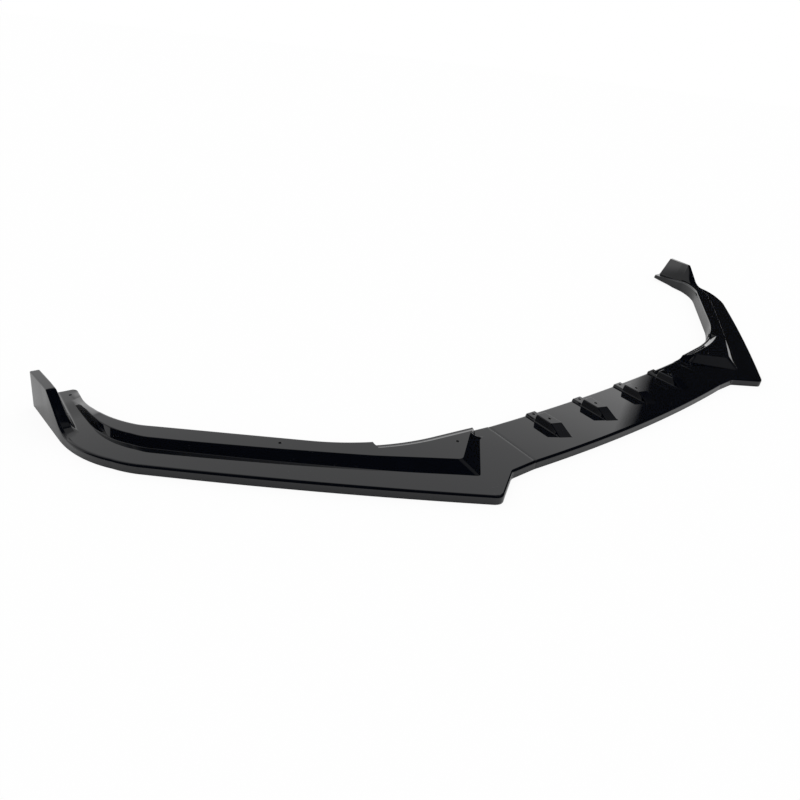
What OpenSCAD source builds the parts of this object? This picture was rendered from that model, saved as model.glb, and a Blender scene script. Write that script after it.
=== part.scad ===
// Front splitter lip for a car bumper: a centre section and two side sections, moulded as
// thin open-backed shells that lap at the seams. Millimetres. X runs across the car, Y from
// the front edge to the rear, Z up. The lip stands on its lower edges at Z = 0.

/* [Shell] */
// Thickness of the moulded skin
wall = 3; // [2:0.1:4]
// Height of the flat plate above the ground
plate_height = 15; // [11:0.5:22]
// Radius along the upper front edge
edge_radius = 4.5; // [3.5:0.1:8]
// Radius along the upper rear edge
rear_radius = 4; // [3.5:0.1:6]
// Gap between the pieces where they meet
seam_gap = 0.4; // [0.2:0.1:1]

/* [Centre section] */
// Half the length of the centre section, from the middle to a seam
centre_half = 284; // [220:1:340]
// Depth of the plate at the seam, front edge to rear edge
seam_depth = 111; // [85:1:150]
// How far the front edge bows forward in the middle
front_bow = 12; // [0:1:25]
// How far the rear edge bows forward in the middle
rear_bow = 9; // [0:1:20]
// How far the tongue of the centre section reaches under a side section
tongue_reach = 26; // [15:1:40]

/* [Side section] */
// Straight front stretch between the seam and the step
step_start = 51; // [30:1:70]
// Length of the slanted step, across the car
step_run = 57; // [40:1:80]
// How far the step brings the front edge forward
step_depth = 37; // [20:1:50]
// Radius of the two corners of the step, seen from above
step_radius = 10; // [6:1:14]
// Straight length of the swept front edge, from the step to the outer corner
sweep_length = 591; // [450:1:700]
// Angle by which the front edge sweeps back
sweep_angle = 37; // [25:0.5:45]
// How far the swept edge bows outward
sweep_bow = 6.5; // [0:0.5:15]
// Radius of the outer corner, seen from above
corner_radius = 190; // [120:5:240]
// Length of the side along the wheel arch
side_length = 197; // [170:1:230]
// Angle by which the side flares outward to the rear
side_flare = 7; // [3:0.5:11]

/* [Mounting ledge] */
// Height of the ledge above the plate
ledge_height = 14; // [8:0.5:20]
// Height of the rear tab above the plate
tab_height = 1.5; // [0.5:0.5:5]
// Distance from the swept front edge to the foot of the ledge wall
ledge_setback = 42; // [34:1:50]
// Horizontal run of the sloping ledge wall at its inner corner
wall_run = 20; // [12:1:24]
// Horizontal run of the ledge wall at the outer corner
wall_run_outer = 2.5; // [1.5:0.5:6]
// Height of the joggle behind the inner part of the ledge
joggle_drop = 5; // [2:0.5:7]
// Width of the joggle strip
joggle_width = 9; // [7:0.5:12]
// Length of the sloping inner end of the ledge, across the car
ledge_end_slope = 40; // [30:1:50]
// Angle of the foot of the ledge's slanted end wall, seen from above
foot_angle = 48; // [42:1:55]
// Angle of the crest of the ledge's slanted end wall, seen from above
crest_angle = 39; // [34:1:50]
// Radius of the rear corner of the ledge's end wall, seen from above
end_radius = 14; // [8:1:20]
// Depth of the ledge part, from the line of the swept front edge to the rear edge
ledge_depth = 76; // [68:1:90]
// Angle by which the rear edge runs back from the seam
rear_skew = 6.5; // [2:0.5:9]
// Radius of the rear edge where it turns along the sweep
rear_bend_radius = 366; // [250:5:450]
// Small step in the rear edge at the outer end of the joggle
notch_step = 2; // [1:0.5:4]
// Radius of the rear edge at the wheel arch
arch_radius = 182; // [120:2:220]
// Width of the rear tab and plate at the rear end
tab_width = 62; // [52:1:75]
// Length over which the ledge runs down to the rear tab
ledge_fall = 75; // [55:1:95]
// Length of the rear tab behind the end of the ledge
tab_length = 47; // [30:1:60]
// Height of the lower edge of the rear face at the rear end
flange_lift = 8; // [0:0.5:10]

/* [Winglet] */
// Height of the winglet above the ground
winglet_height = 66; // [45:1:85]
// Width of the winglet's rim
rim_width = 13; // [10:0.5:16]
// Distance from the outer edge to the foot of the winglet's inner face, at the front
inner_foot = 24; // [22:1:30]
// Distance from the outer edge to the foot of the winglet's inner face, at the rear
inner_foot_rear = 35; // [28:1:38]
// Inward lean of the outer face, per millimetre of height
face_lean = 0.09; // [0:0.01:0.15]
// Length of the sloping front rim, along the car
rim_slope = 53; // [48:1:65]
// Length of the level rim, along the car
rim_level = 77; // [60:1:90]
// Forward rake of the rear end, per millimetre of height
rear_rake = 0.18; // [0:0.01:0.3]

/* [Pedestals] */
// Distance of the inner pedestals from the middle
pedestal_inner = 63; // [50:1:80]
// Distance of the outer pedestals from the middle
pedestal_outer = 185; // [150:1:230]
// Width of a pedestal at the top
pedestal_width = 20; // [16:0.5:28]
// Height of a pedestal above the plate
pedestal_height = 14; // [9:0.5:20]
// Height of the low tab behind a pedestal
pedestal_tab = 4; // [2:0.5:7]
// Length of a pedestal's top, front to rear
pedestal_length = 35; // [25:1:45]
// Length of the sloping front of a pedestal
pedestal_slope = 25; // [15:1:35]
// Length of the low tab, back to the rear edge
pedestal_tab_length = 22; // [15:1:30]

/* [Screw holes] */
// Radius of the screw holes
hole_radius = 2.25; // [1.5:0.05:3.5]
// Distance from the seam to the inner hole in the ledge
inner_hole = 90; // [60:1:110]
// Distance from the rear end to the hole in the rear tab
tab_hole = 20; // [12:1:30]

/* [Hidden] */
top = plate_height;
seam_x = centre_half;
finish = "#17181b";

// Small helpers
function lerp(a, b, t) = a + (b - a) * t;
function limit(t) = min(1, max(0, t));
function unit(v) = v / norm(v);
function ahead(angle) = [cos(angle), sin(angle)];
function left_of(v) = [-v.y, v.x];
function lift(p, z) = [p.x, p.y, z];

// Where the line from a along da meets the line from b along db
function meet(a, da, b, db) =
    let (w = b - a, k = (w.x * db.y - w.y * db.x) / (da.x * db.y - da.y * db.x)) a + k * da;

// A rail is a plan path of straight legs whose corners are rounded: p holds its corners and
// r their radii. The place t counts legs, so t = 1.5 is the middle of the second leg.
function turn_at(p, k) = let (a = unit(p[k] - p[k - 1]), b = unit(p[k + 1] - p[k]))
    atan2(a.x * b.y - a.y * b.x, a * b);
function tangent(p, r, k) =
    (k < 1 || k > len(p) - 2) ? 0 : r[k] * tan(abs(turn_at(p, k)) / 2);
function before(p, r, k) = k < 1 ? 0 : tangent(p, r, k) / norm(p[k] - p[k - 1]);
function after(p, r, k) = k > len(p) - 2 ? 0 : tangent(p, r, k) / norm(p[k + 1] - p[k]);
function on_arc(p, r, k, t) =
    let (b = before(p, r, k), a = after(p, r, k), u = (t - k + b) / (a + b),
        turn = turn_at(p, k), side = sign(turn), head = unit(p[k] - p[k - 1]),
        start = lerp(p[k], p[k - 1], b), centre = start + side * r[k] * left_of(head),
        angle = atan2(head.y, head.x) - side * 90 + turn * u)
    centre + r[k] * ahead(angle);
function rail(p, r, t) =
    let (k = max(0, min(floor(t), len(p) - 2)), f = t - k)
    k > 0 && f < after(p, r, k) ? on_arc(p, r, k, t)
    : k < len(p) - 2 && 1 - f < before(p, r, k + 1) ? on_arc(p, r, k + 1, t)
    : lerp(p[k], p[k + 1], f);

// Front rail of a side section: seam, inner and outer corner of the step, outer corner, rear end
seam_front = [seam_x + seam_gap / 2, 0];
step_in = seam_front + [step_start, 0];
step_out = step_in + [step_run, -step_depth];
arch_corner = step_out + sweep_length * ahead(sweep_angle);
side_end = arch_corner + side_length * ahead(90 - side_flare);
FRONT = [seam_front, step_in, step_out, arch_corner, side_end];
FRONT_R = [0, step_radius, step_radius, corner_radius, 0];
function bow(t) = t > 2 && t < 3 ? 4 * (t - 2) * (3 - t) : 0;
function front(t) = rail(FRONT, FRONT_R, t) - sweep_bow * bow(t) * left_of(ahead(sweep_angle));
function inward(t) = unit(lerp(left_of(unit(front(t + 0.01) - front(t - 0.01))), [-1, 0],
    limit((t - 3.6) / 0.4)));

// Foot and crest of the ledge wall. Outboard of the ledge's inner corner both run parallel to
// the front rail. Inboard of it they follow the slanted end wall to the rear edge.
// On the plain plate they lie at a fixed distance in front of the rear edge.
plain_foot = 20;
plain_crest = 14;
foot_corner = 2.045;
crest_corner = 2.09;
function run_at(t) = lerp(wall_run, wall_run_outer, limit((t - 2) / 0.9));
function swept(t, start) = t < 3 ? lerp(start, 3, t - 2) : t;
function beside(t, start, d) = let (s = swept(t, start)) front(s) + d * inward(s);
foot_2 = beside(2, foot_corner, ledge_setback);
crest_2 = beside(2, crest_corner, ledge_setback + wall_run);
rear_y = seam_front.y + seam_depth;
foot_1 = foot_2 + (rear_y - 12 - foot_2.y) * [-1 / tan(foot_angle), 1];
crest_1 = crest_2 + (rear_y - 10 - crest_2.y) * [-1 / tan(crest_angle), 1];
foot_0 = [seam_front.x, rear_y - plain_foot];
crest_0 = [seam_front.x, rear_y - plain_crest];
function foot(t) = t < 2 ? rail([foot_0, foot_1, foot_2], [0, end_radius, 0], t)
    : beside(t, foot_corner, ledge_setback);
function crest(t) = t < 2 ? rail([crest_0, crest_1, crest_2], [0, end_radius, 0], t)
    : beside(t, crest_corner, ledge_setback + run_at(t));

// Rear rail: along the bumper, round to the sweep, and along the wheel arch to the rear tab
rear_0 = [seam_front.x, rear_y];
rear_1 = rear_0 + (crest_1.x - rear_0.x) * [1, tan(rear_skew)];
sweep_back = step_out + ledge_depth * left_of(ahead(sweep_angle));
rear_2 = meet(rear_0, ahead(rear_skew), sweep_back, ahead(sweep_angle));
tab_corner = side_end - [tab_width, 0];
rear_3 = meet(sweep_back, ahead(sweep_angle), tab_corner, [0, 1]);
REAR = [rear_0, rear_1, rear_2, rear_3, tab_corner];
REAR_R = [0, 0, rear_bend_radius, arch_radius, 0];
notch = 2.22;
PAIRING = [[0, 0], [1, 1], [2, 1.42], [2.25, 1.88], [2.5, 2.35], [2.8, 2.72], [3, 2.955],
    [3.2, 3.15], [3.47, 3.37], [3.7, 3.6], [4, 4]];
end_rise = 0.76;
end_run = ledge_end_slope / norm(foot_2 - foot_1);
function joggled(t) = t > notch ? 0 : limit((t - end_rise - end_run) / end_run);
function rear_rail(t) = rail(REAR, REAR_R, lookup(t, PAIRING));
function rear(t) = rear_rail(t) - [0, notch_step * joggled(t)];
function outward(t) = left_of(unit(rear_rail(min(4, t + 0.01)) - rear_rail(t - 0.01)));

// Heights along the side section
tab_front = 4 - tab_length / side_length;
rim_front = 4 - (rim_level + rim_slope) / side_length;
slope_end = 4 - rim_level / side_length;
function ledge_z(t) = top + (t < 2 ? ledge_height * limit((t - end_rise) / end_run)
    : lerp(tab_height, ledge_height, limit((tab_front - t) * side_length / ledge_fall)));
function rise(t) = (winglet_height - top) * limit((t - rim_front) * side_length / rim_slope);
function flange_z(t) = flange_lift * limit((t - 3.6) / 0.4);
function foot_width(t) = lerp(inner_foot, inner_foot_rear, limit((t - 3.45) / 0.55));

// Outer skin of a section across the lip, from the lower front edge over the top to the lower
// rear edge. f, b, c and r are the rails' points, nf and nr the level normals of the front and
// rear faces, up is the winglet's rise above the plate, shelf the ledge's height, w the distance
// to the winglet's foot, j the joggle and low the height of the rear flange's lower edge. Where
// the ledge narrows, the joggle's strip narrows and rises with it.
function skin(f, b, c, r, nf = [0, 1], nr = [0, 1], up = 0, shelf = 0, w = inner_foot, j = 0, low = 0) =
    let (fb = unit(b - f) / max(0.4, unit(b - f) * nf), bc = unit(c - b),
        cr = unit(r - c) / max(0.4, unit(r - c) * nr), e = edge_radius, q = rear_radius,
        rim = min(rim_width, 0.65 * w), z = top + up, s = 0.29, lean = face_lean * up,
        n = min(e, 0.7 * up), gap = norm(b - f) - w, v = min(3, gap / 3), h = top + shelf,
        soft = min(2.5, shelf / 4),
        strip = min(j * joggle_width, max(0, norm(r - c) / norm(cr) - q - 8)),
        back = h - strip / joggle_width * joggle_drop)
    [lift(f, 0),
     lift(f + fb * lean, z - e),
     lift(f + fb * (lean + s * e), z - s * e),
     lift(f + fb * (lean + e), z),
     lift(f + fb * (lean + rim - e), z),
     lift(f + fb * (lean + rim - s * e), z - s * n),
     lift(f + fb * (lean + rim), z - n),
     lift(f + fb * w, top + min(2, up / 8)),
     lift(f + fb * (w + v), top),
     lift(b - fb * v, top),
     lift(b + bc * 0.6, top + soft / 2),
     lift(c - bc * 0.6, h - soft / 2),
     lift(c + cr * 2.5, h),
     lift(r - cr * (strip + q + 2), h),
     lift(r - cr * (max(0, strip - 2) + q + 1), back),
     lift(r - cr * q, back),
     lift(r - cr * s * q, back - s * q),
     lift(r, back - q),
     lift(r, low)];

// A shell from rows of outer points: the inner skin lies one wall inside the outer one, and
// its lower edges stay level with the outer ones. first and last are the planes of the ends.
function along(g, i, j) = g[min(i + 1, len(g) - 1)][j] - g[max(i - 1, 0)][j];
function across(g, i, j) = g[i][min(j + 1, len(g[0]) - 1)] - g[i][max(j - 1, 0)];
function flat_to(v, m) = unit(v - (v * m) * m);
function normal(g, i, j, first, last) =
    let (raw = unit(cross(along(g, i, j), across(g, i, j))),
        v = i == 0 ? flat_to(raw, first) : i == len(g) - 1 ? flat_to(raw, last) : raw)
    j == 0 || j == len(g[0]) - 1 ? unit([v.x, v.y, 0]) : v;

module shell(g, first, last) {
    rows = len(g);
    m = len(g[0]);
    inner = [for (i = [0 : rows - 1]) [for (j = [0 : m - 1])
        g[i][j] - wall * normal(g, i, j, first, last)]];
    loop = [for (i = [0 : rows - 1]) concat(g[i], [for (j = [0 : m - 1]) inner[i][m - 1 - j]])];
    k = 2 * m;
    sides = [for (i = [0 : rows - 2], j = [0 : k - 1])
        let (a = i * k + j, b = i * k + (j + 1) % k) each [[a, b, b + k], [a, b + k, a + k]]];
    ends = [for (j = [0 : m - 2]) let (a = j, b = j + 1, c = k - 2 - j, d = k - 1 - j,
        e = (rows - 1) * k) each [[b, a, d], [b, d, c], [a + e, b + e, d + e], [b + e, c + e, d + e]]];
    polyhedron(points = [for (row = loop) each row], faces = concat(sides, ends), convexity = 12);
}

// A solid between a lower and an upper outline of four corners each
module block(low, high) {
    polyhedron(points = concat(low, high), faces = [[0, 1, 2, 3], [7, 6, 5, 4], [0, 4, 5, 1],
        [1, 5, 6, 2], [2, 6, 7, 3], [3, 7, 4, 0]]);
}

// Places of the sections along a side section, closer together where it turns
function spread(a, b, n) = [for (i = [0 : n - 1]) lerp(a, b, i / n)];
function arc_start(k) = k - before(FRONT, FRONT_R, k);
function arc_end(k) = k + after(FRONT, FRONT_R, k);
PLACES = concat(spread(0, arc_start(1), 4), spread(arc_start(1), arc_end(1), 3),
    spread(arc_end(1), 1.2, 3), spread(1.2, arc_start(2), 5), spread(arc_start(2), arc_end(2), 6),
    spread(arc_end(2), notch - 0.003, 2), spread(notch - 0.003, notch + 0.003, 1),
    spread(notch + 0.003, 2.8, 9), spread(2.8, rim_front, 11), spread(rim_front, slope_end, 8),
    spread(slope_end, tab_front, 2), spread(tab_front, 4, 4), [4]);

// Shift that puts the origin at the middle of the lip's box
front_most = min([for (t = PLACES) front(t).y]);
mid_y = (front_most + side_end.y) / 2;

function side_row(t) =
    let (row = skin(front(t), foot(t), crest(t), rear(t), inward(t), outward(t), rise(t),
            ledge_z(t) - top, foot_width(t), joggled(t), flange_z(t)), k = limit((t - 3.7) / 0.3))
    [for (p = row) p - [0, k * rear_rake * p.z, 0]];

// The wall that closes the rear end of a side section. It ends in the middle of the skin and
// lies a little inside the rear edge.
rear_recess = 0.6;
module rear_wall(g, last) {
    i = len(g) - 1;
    m = len(g[0]) - 1;
    lean_back = [[1, 0, 0, 0], [0, 1, -rear_rake, side_end.y - rear_recess], [0, 0, 1, 0]];
    multmatrix(lean_back) rotate([90, 0, 0]) linear_extrude(wall)
        polygon([for (j = [0 : m]) let (p = g[i][j] - wall / 2 * normal(g, i, j, last, last))
            [p.x, p.z + (j == 0 || j == m ? 1 : 0)]]);
}

module screw_hole(p, z) {
    translate(lift(p, z)) cylinder(h = 8 * wall, r = hole_radius, center = true, $fn = 32);
}

module side_section() {
    inner = [seam_front.x + inner_hole, lerp(crest_2.y, rear_y, 0.62)];
    middle = lerp(crest(2.5), rear(2.5), 0.5);
    tab = lerp(crest(4), rear(4), 0.35) - [0, tab_hole];
    rows = [for (t = PLACES) side_row(t)];
    end = unit([0, 1, rear_rake]);
    difference() {
        union() {
            shell(rows, [1, 0, 0], end);
            rear_wall(rows, end);
        }
        screw_hole(inner, top + ledge_height);
        screw_hole(middle, top + ledge_height);
        screw_hole(tab, top + tab_height);
    }
}

// Centre section: a bowed plate, a lapping tongue at each end and the pedestals
function centre_front(x) = -front_bow * (1 - pow(x / seam_x, 2));
function centre_rear(x) = rear_y - rear_bow * (1 - pow(x / seam_x, 2));
function centre_row(x) = skin([x, centre_front(x)], [x, centre_rear(x) - plain_foot],
    [x, centre_rear(x) - plain_crest], [x, centre_rear(x)]);

module tongue() {
    a = seam_x - tongue_reach;
    y = seam_front.y + wall + 4;
    deep = seam_depth - 2 * wall - 8;
    under = top - wall - seam_gap;
    translate([a, y, under - wall]) cube([2 * tongue_reach, deep, wall]);
    translate([a, y, under - wall]) cube([tongue_reach - 2, deep, wall + seam_gap + 0.5]);
}

// Corners of a pedestal outline at height z, between y0 and y1: the sides widen downward
function outline(x, y0, y1, z, grow, slant = 0) =
    let (w = pedestal_width / 2 + grow)
    [lift([x - w, y0 + slant], z), lift([x + w, y0 - slant], z), lift([x + w, y1], z),
     lift([x - w, y1], z)];

// inset is zero for the outside and one wall for the hollow
module pedestal(x, inset) {
    back = centre_rear(x) - 0.4 - inset;
    tab_front = back + inset - pedestal_tab_length;
    crown_front = tab_front - pedestal_length;
    z0 = top - (inset > 0 ? wall + 1 : 1);
    z1 = top + pedestal_height - inset;
    z2 = top + pedestal_tab - inset;
    draft = 1.2;
    drop = pedestal_slope * (z1 - z0) / pedestal_height;
    block(outline(x, crown_front - drop + inset * 1.6, tab_front - inset + 2, z0, draft - inset, 3.5),
        outline(x, crown_front + inset * 0.6, tab_front - inset, z1, -inset, 2));
    block(outline(x, tab_front - 12, back, z0, draft - inset),
        outline(x, tab_front - 12, back, z2, draft / 2 - inset));
}

module pedestal_holes(x) {
    back = centre_rear(x);
    screw_hole([x, back - 8], top + pedestal_tab);
    screw_hole([x, back - pedestal_tab_length - 20], top + pedestal_height);
}

PEDESTALS = [-pedestal_outer, -pedestal_inner, pedestal_inner, pedestal_outer];

module centre_section() color(finish) translate([0, -mid_y, 0]) {
    end = seam_x - seam_gap / 2;
    steps = 20;
    difference() {
        union() {
            shell([for (i = [0 : steps]) centre_row(lerp(-end, end, i / steps))], [1, 0, 0],
                [1, 0, 0]);
            for (x = PEDESTALS) pedestal(x, 0);
            tongue();
            mirror([1, 0, 0]) tongue();
        }
        for (x = PEDESTALS) {
            pedestal(x, wall);
            pedestal_holes(x);
        }
    }
}

module left_side_section() color(finish) translate([0, -mid_y, 0]) side_section();

module right_side_section() color(finish) mirror([1, 0, 0])
    translate([0, -mid_y, 0]) side_section();

centre_section();
left_side_section();
right_side_section();
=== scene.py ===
import logging
import math
from collections.abc import Callable
from dataclasses import dataclass, field
from enum import Enum

import bpy
import numpy as np
from mathutils import Matrix, Vector


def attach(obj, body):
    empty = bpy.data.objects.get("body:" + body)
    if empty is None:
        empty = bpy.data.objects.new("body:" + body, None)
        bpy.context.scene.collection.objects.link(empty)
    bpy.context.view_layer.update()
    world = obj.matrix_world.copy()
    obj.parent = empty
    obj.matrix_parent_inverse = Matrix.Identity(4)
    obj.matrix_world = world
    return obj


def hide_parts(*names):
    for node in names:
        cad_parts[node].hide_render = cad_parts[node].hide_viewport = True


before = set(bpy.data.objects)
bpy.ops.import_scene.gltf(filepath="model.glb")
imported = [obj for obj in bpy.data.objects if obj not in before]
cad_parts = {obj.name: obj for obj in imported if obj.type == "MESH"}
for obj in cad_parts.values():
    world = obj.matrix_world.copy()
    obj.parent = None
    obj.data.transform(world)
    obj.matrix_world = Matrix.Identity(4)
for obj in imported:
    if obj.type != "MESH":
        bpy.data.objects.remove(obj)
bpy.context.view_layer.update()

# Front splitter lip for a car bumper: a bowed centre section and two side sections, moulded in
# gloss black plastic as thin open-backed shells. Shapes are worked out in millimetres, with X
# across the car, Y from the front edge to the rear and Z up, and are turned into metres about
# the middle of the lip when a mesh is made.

LOG = logging.getLogger("splitter_lip")
Array = np.ndarray
Stretch = tuple[float, float]

# Wall, height of the plate, front and rear edges, and the seams with their broken edges.
WALL = 3.0
TOP = 15.0
EDGE_RADIUS = 4.5
REAR_RADIUS = 4.0
SEAM_GAP = 0.12
SEAM_X = 284.0
SEAM_DEPTH = 111.0
SEAM_ROUND, SEAM_ROWS = 0.06, 5

# Points of an arc, and the most and least of a leg that it takes up, with its guard points.
ARC_STEPS = 10
MOST_CUT, LEAST_CUT, GUARD = 0.49, 0.2, 0.008

PER_METRE = 1000.0
JOIN_GRID = 1e6
SHARP_ANGLE = 38.0


class Side(Enum):
    """Side of the car, as the sign of X."""

    LEFT = 1.0
    RIGHT = -1.0


def unit(v: Array) -> Array:
    """Vectors of length one along v; the last axis holds the coordinates."""
    return v / np.maximum(np.linalg.norm(v, axis=-1, keepdims=True), 1e-12)


def limit(t: Array) -> Array:
    """The values of t cut to the range 0 to 1."""
    return np.clip(t, 0.0, 1.0)


def smooth(t: Array) -> Array:
    """0 below 0, 1 above 1, and three t squared less two t cubed between them."""
    u = limit(t)
    return u * u * (3.0 - 2.0 * u)


def ahead(angle: float) -> Array:
    """The unit plan vector at an angle in degrees from +X."""
    return np.array([math.cos(math.radians(angle)), math.sin(math.radians(angle))])


def left_of(v: Array) -> Array:
    """Plan vectors turned a quarter turn to the left."""
    return np.stack([-v[..., 1], v[..., 0]], axis=-1)


def meet(a: Array, da: Array, b: Array, db: Array) -> Array:
    """The point where the line from a along da crosses the line from b along db."""
    w = b - a
    return a + da * (w[0] * db[1] - w[1] * db[0]) / (da[0] * db[1] - da[1] * db[0])


@dataclass
class Rail:
    """A plan path of straight legs with rounded corners.

    A place t counts legs, so that 1.5 is the middle of the second leg.
    """

    corners: Array
    radii: tuple[float, ...]
    before: Array = field(init=False)
    after: Array = field(init=False)
    turn: Array = field(init=False)

    def __post_init__(self) -> None:
        """Works out how much of each leg the arc at its corner takes up."""
        p = self.corners
        leg = np.diff(p, axis=0)
        size = np.linalg.norm(leg, axis=1)
        head = leg / size[:, None]
        a, b = head[:-1], head[1:]
        bend = np.arctan2(a[:, 0] * b[:, 1] - a[:, 1] * b[:, 0], (a * b).sum(1))
        cut = np.array(self.radii[1:-1]) * np.tan(np.abs(bend) / 2)
        self.turn, self.before, self.after = (
            np.pad(v, 1) for v in (bend, cut / size[:-1], cut / size[1:])
        )

    def at(self, t: Array) -> Array:
        """Points on the path: lines along the legs, and circles about the corners.

        Args:
            t: places along the path.

        Returns:
            An array of plan points, one for each place.
        """
        t = np.asarray(t, float)
        last = len(self.corners) - 2
        k = np.clip(np.floor(t).astype(int), 0, last)
        f = t - k
        on_this = (k > 0) & (f < self.after[k])
        on_next = (k < last) & (1.0 - f < self.before[k + 1])
        c = np.clip(np.where(on_this, k, k + 1), 1, last)
        return np.where((on_this | on_next)[:, None], self._arc(c, t), self._line(k, f))

    def _line(self, k: Array, f: Array) -> Array:
        """Points on leg k, a fraction f of the way along it."""
        return self.corners[k] + (self.corners[k + 1] - self.corners[k]) * f[:, None]

    def _arc(self, c: Array, t: Array) -> Array:
        """Points on the arc at corner c: its centre plus its radius along a turning direction."""
        p, r = self.corners, np.array(self.radii)[c]
        b, a = self.before[c], self.after[c]
        u = (t - c + b) / np.maximum(a + b, 1e-9)
        side = np.sign(self.turn[c])
        head = unit(p[c] - p[c - 1])
        start = p[c] + (p[c - 1] - p[c]) * b[:, None]
        centre = start + (side * r)[:, None] * left_of(head)
        angle = np.arctan2(head[:, 1], head[:, 0]) - side * math.pi / 2 + self.turn[c] * u
        return centre + r[:, None] * np.stack([np.cos(angle), np.sin(angle)], axis=1)


def lift(p: Array, z: Array) -> Array:
    """Plan points p raised to the heights z."""
    return np.concatenate([p, np.broadcast_to(np.asarray(z, float), len(p))[:, None]], axis=1)


def leg_normals(frames: Array) -> Array:
    """Outward normals of the legs of a corner cage.

    A normal is the direction along the piece crossed with the direction of the leg.

    Args:
        frames: corners as (stations, corners, 3).

    Returns:
        Unit normals as (stations, corners less one, 3).
    """
    along = np.gradient(frames, axis=0)
    middle = (along[:, 1:] + along[:, :-1]) / 2
    return unit(np.cross(middle, np.diff(frames, axis=1)))


def inset_cage(frames: Array, depth: Array | float) -> Array:
    """Moves a corner cage inward, by the same depth off each leg.

    At a corner with leg normals m and n the move is depth (m + n) / (1 + m . n). The two ends
    stay at their height, so that the lower edges are level.

    Args:
        frames: corners as (stations, corners, 3).
        depth: how far, in millimetres, for the whole cage or for each station.

    Returns:
        The moved corners in the same shape.
    """
    n = leg_normals(frames)
    m = np.concatenate([n[:, :1], n, n[:, -1:]], axis=1)
    a, b = m[:, :-1], m[:, 1:]
    step = (a + b) / np.maximum(1.0 + (a * b).sum(-1, keepdims=True), 0.35)
    flat = step[:, [0, -1]] * [1.0, 1.0, 0.0]
    step[:, [0, -1]] = unit(flat)
    return frames - np.reshape(depth, (-1, 1, 1)) * step


def round_corners(frames: Array, radii: Array, steps: int) -> Array:
    """Rounds the corners of a cage into circular arcs.

    Each arc is a weighted quadratic curve: the weight of its corner is the cosine of half the
    turn, which makes it a true circle. It takes at most MOST_CUT of a leg. A guard point stands
    GUARD of the leg beyond each of its ends, so that the flats keep their own normals.

    Args:
        frames: corners as (stations, corners, 3).
        radii: radii of the inner corners, (corners less two) or (stations, corners less two).
        steps: points along an arc, with its two guard points.

    Returns:
        Profile points as (stations, points, 3), the two ends among them.
    """
    leg = np.diff(frames, axis=1)
    size = np.linalg.norm(leg, axis=-1)
    head = leg / np.maximum(size, 1e-9)[..., None]
    a, b = head[:, :-1], head[:, 1:]
    cosine = np.clip((a * b).sum(-1), -0.999, 1.0)
    half = np.arccos(cosine) / 2
    shorter = np.minimum(size[:, :-1], size[:, 1:])
    cut = np.minimum(radii * np.tan(half), MOST_CUT * shorter)
    cut = np.maximum(cut, LEAST_CUT * np.minimum(1.0, shorter))
    p = frames[:, 1:-1]
    start, end = p - a * cut[..., None], p + b * cut[..., None]
    s = np.linspace(0.0, 1.0, steps - 2)
    weight = np.cos(half)[..., None] * (2 * s * (1 - s))
    w0, w1, w2 = (1 - s) ** 2, weight, s**2
    total = w0 + w1 + w2
    arc = sum((w / total)[..., None] * q[:, :, None] for w, q in ((w0, start), (w1, p), (w2, end)))
    before, after = start - GUARD * leg[:, :-1], end + GUARD * leg[:, 1:]
    arc = np.concatenate([before[:, :, None], arc, after[:, :, None]], axis=2)
    arc = arc.reshape(len(frames), -1, 3)
    return np.concatenate([frames[:, :1], arc, frames[:, -1:]], axis=1)


def split_legs(profile: Array, counts: list[int]) -> Array:
    """Adds evenly spaced points on the legs of a rounded profile, so that no facet is very long.

    Args:
        profile: points as (stations, points, 3), with arcs of ARC_STEPS points.
        counts: the number of parts that each leg between two arcs gets.

    Returns:
        The profile with the added points.
    """
    parts = {k * ARC_STEPS: n for k, n in enumerate(counts)}
    out = []
    for j in range(profile.shape[1] - 1):
        u = np.arange(parts.get(j, 1)) / parts.get(j, 1)
        out.append(profile[:, j, None] + (profile[:, j + 1] - profile[:, j])[:, None] * u[:, None])
    return np.concatenate([*out, profile[:, -1:]], axis=1)


def round_end(radius: float, steps: int) -> tuple[Array, Array]:
    """Rows that round off the end of a shell as a quarter of a circle.

    Row k lies radius (1 - cos a) from the end and is drawn in by radius (1 - sin a), as a goes
    from nothing to a quarter turn.

    Args:
        radius: radius of the rounding, in millimetres.
        steps: number of rows.

    Returns:
        Distances from the end and depths by which the rows are drawn in.
    """
    a = np.linspace(0.0, math.pi / 2, steps)
    return radius * (1 - np.cos(a)), radius * (1 - np.sin(a))


def grid_quads(index: Array) -> Array:
    """Quads between the rows and columns of a grid of point numbers, as (quads, 4)."""
    corners = [index[:-1, :-1], index[1:, :-1], index[1:, 1:], index[:-1, 1:]]
    return np.stack(corners, axis=-1).reshape(-1, 4)


def put(name: str, data: bpy.types.ID) -> bpy.types.Object:
    """Adds an object to the scene that shows a mesh or a camera."""
    obj = bpy.data.objects.new(name, data)
    bpy.context.scene.collection.objects.link(obj)
    return obj


def point_layer(mesh: bpy.types.Mesh, name: str, values: Array) -> None:
    """Stores a number at each point of a mesh, for its material to read."""
    layer = mesh.attributes.new(name, "FLOAT", "POINT")
    layer.data.foreach_set("value", values.astype(np.float32))


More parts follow.
